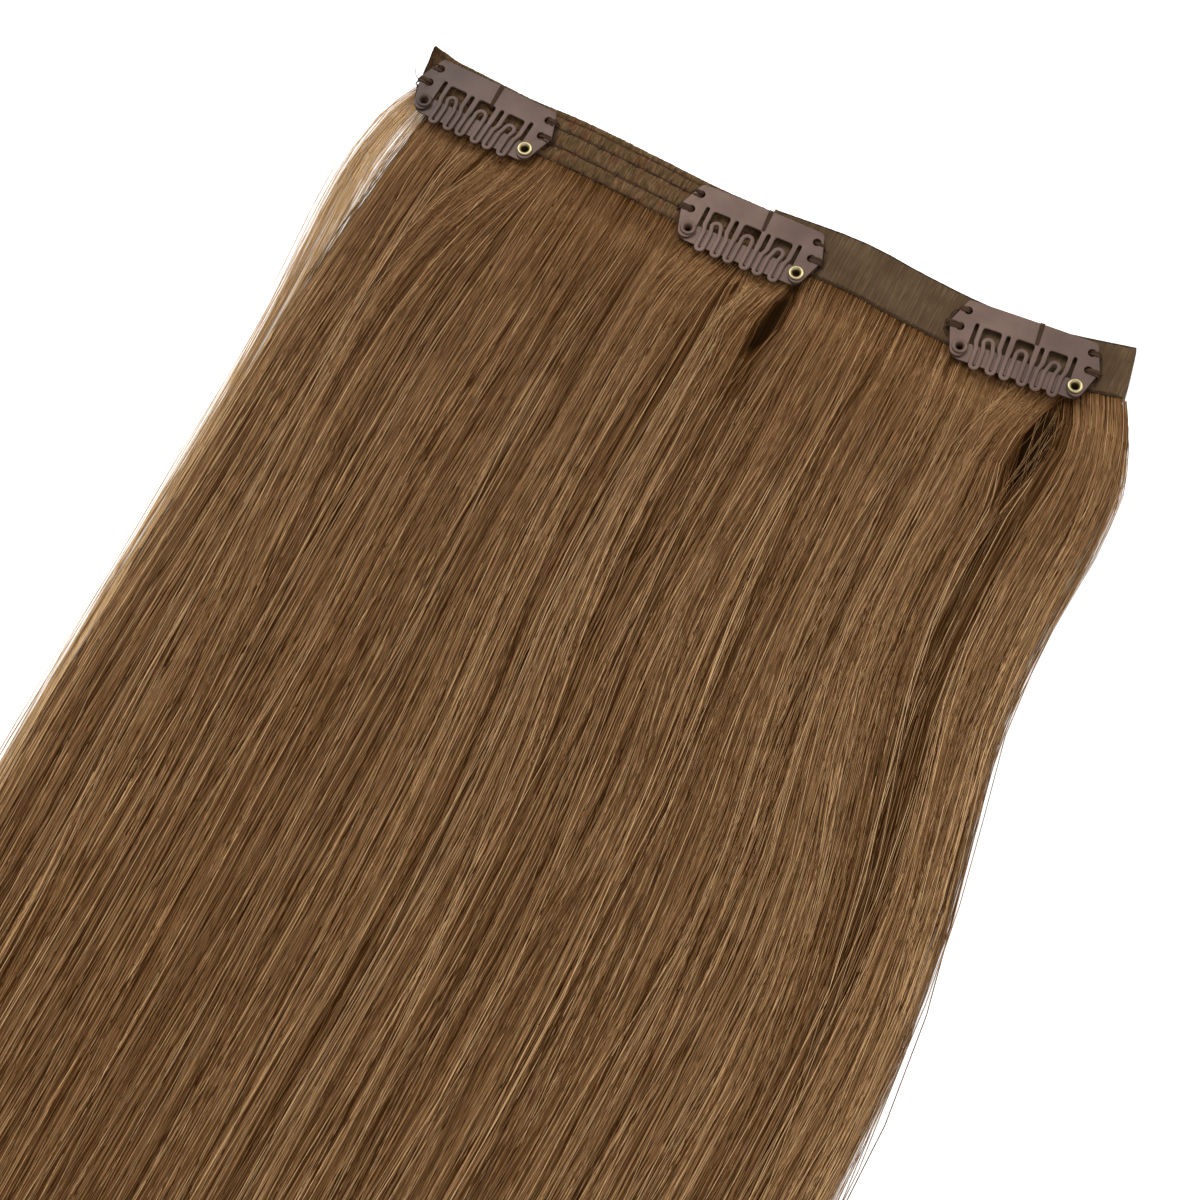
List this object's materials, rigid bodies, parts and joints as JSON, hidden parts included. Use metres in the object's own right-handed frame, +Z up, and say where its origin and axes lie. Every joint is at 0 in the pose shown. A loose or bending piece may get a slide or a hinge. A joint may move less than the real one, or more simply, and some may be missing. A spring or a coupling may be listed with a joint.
{
  "type": "clip in hair extension",
  "caption": "Weft of straight brown hair on a sewn and taped band with painted snap comb clips whose toothed combs flex open; it clips into a wearer's own hair.",
  "frame": {"origin": "on the underside of the root backing, below the middle of the band", "axes": "+X along the band towards the taped end, +Y square to it away from the hair, +Z up from the surface it lies on"},
  "size_m": [0.1809, 0.4115, 0.009],
  "materials": {
    "hair": "straight brown hair, soft lengthwise sheen",
    "weft_fabric": "machine-stitched weft, matt",
    "tape_fabric": "smooth sealed tape, low sheen",
    "clip_paint": "satin mauve-brown paint",
    "eyelet_brass": "bright rolled brass"
  },
  "bodies": {
    "root": {"hair": "hair", "weft_band": "weft_fabric", "cover_tape": "tape_fabric", "clip_left_plate": "clip_paint", "clip_left_bar": "clip_paint", "clip_left_eyelet_painted": "clip_paint", "clip_left_eyelet_brass": "eyelet_brass", "clip_middle_plate": "clip_paint", "clip_middle_bar": "clip_paint", "clip_middle_eyelet_painted": "clip_paint", "clip_middle_eyelet_brass": "eyelet_brass", "clip_right_plate": "clip_paint", "clip_right_bar": "clip_paint", "clip_right_eyelet_painted": "clip_paint", "clip_right_eyelet_brass": "eyelet_brass"},
    "left_comb": {"clip_left_comb": "clip_paint"},
    "middle_comb": {"clip_middle_comb": "clip_paint"},
    "right_comb": {"clip_right_comb": "clip_paint"}
  },
  "joints": [
    {"name": "clip_left_snap", "type": "hinge", "parent": "root", "child": "left_comb", "pos_m": [-0.06375, 0.00239, 0.00417], "axis": [-0.9993, 0.0384, 0], "range_deg": [0, 25]},
    {"name": "clip_middle_snap", "type": "hinge", "parent": "root", "child": "middle_comb", "pos_m": [-0.00046, 0.00069, 0.00417], "axis": [-0.9998, -0.0209, 0], "range_deg": [0, 25]},
    {"name": "clip_right_snap", "type": "hinge", "parent": "root", "child": "right_comb", "pos_m": [0.06058, 0.00182, 0.00417], "axis": [-0.9957, -0.0924, 0], "range_deg": [0, 25]}
  ]
}
